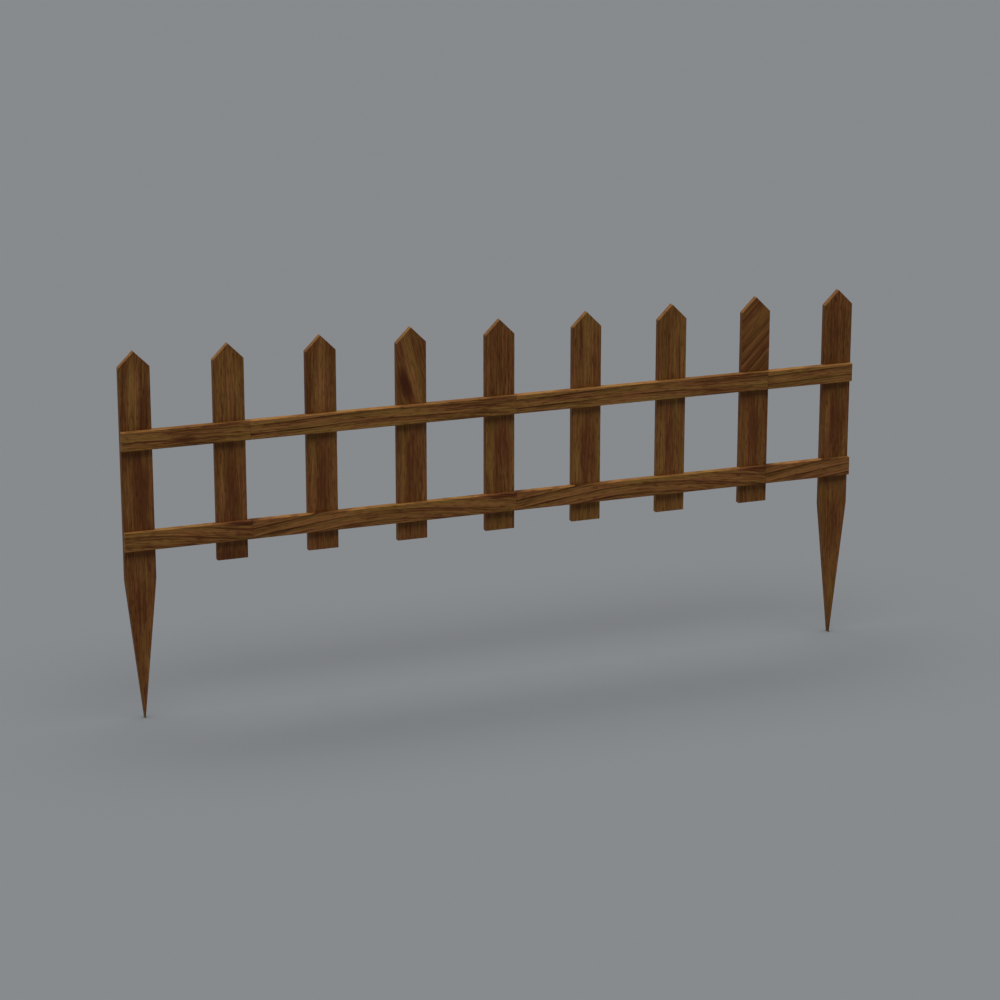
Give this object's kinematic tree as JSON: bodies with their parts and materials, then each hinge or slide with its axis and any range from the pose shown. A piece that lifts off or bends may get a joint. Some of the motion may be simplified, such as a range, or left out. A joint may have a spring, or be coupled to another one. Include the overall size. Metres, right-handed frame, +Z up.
{
  "type": "picket fence panel",
  "caption": "Low timber picket fence panel: pointed upright boards halved over horizontal rails, with long spiked stakes at the ends to drive into the ground.",
  "frame": {"origin": "centre of the blunt foot of the left stake's spike", "axes": "+X along the panel towards the right stake, +Y to the plain back, +Z up; rails are on the -Y front"},
  "size_m": [1.2, 0.0175, 0.575],
  "materials": {
    "upright_timber": "oiled, satin",
    "rail_timber": "oiled, satin"
  },
  "bodies": {
    "root": {"left_stake": "upright_timber", "picket_1": "upright_timber", "picket_2": "upright_timber", "picket_3": "upright_timber", "picket_4": "upright_timber", "picket_5": "upright_timber", "picket_6": "upright_timber", "picket_7": "upright_timber", "right_stake": "upright_timber", "upper_rail": "rail_timber", "lower_rail": "rail_timber"}
  },
  "joints": []
}
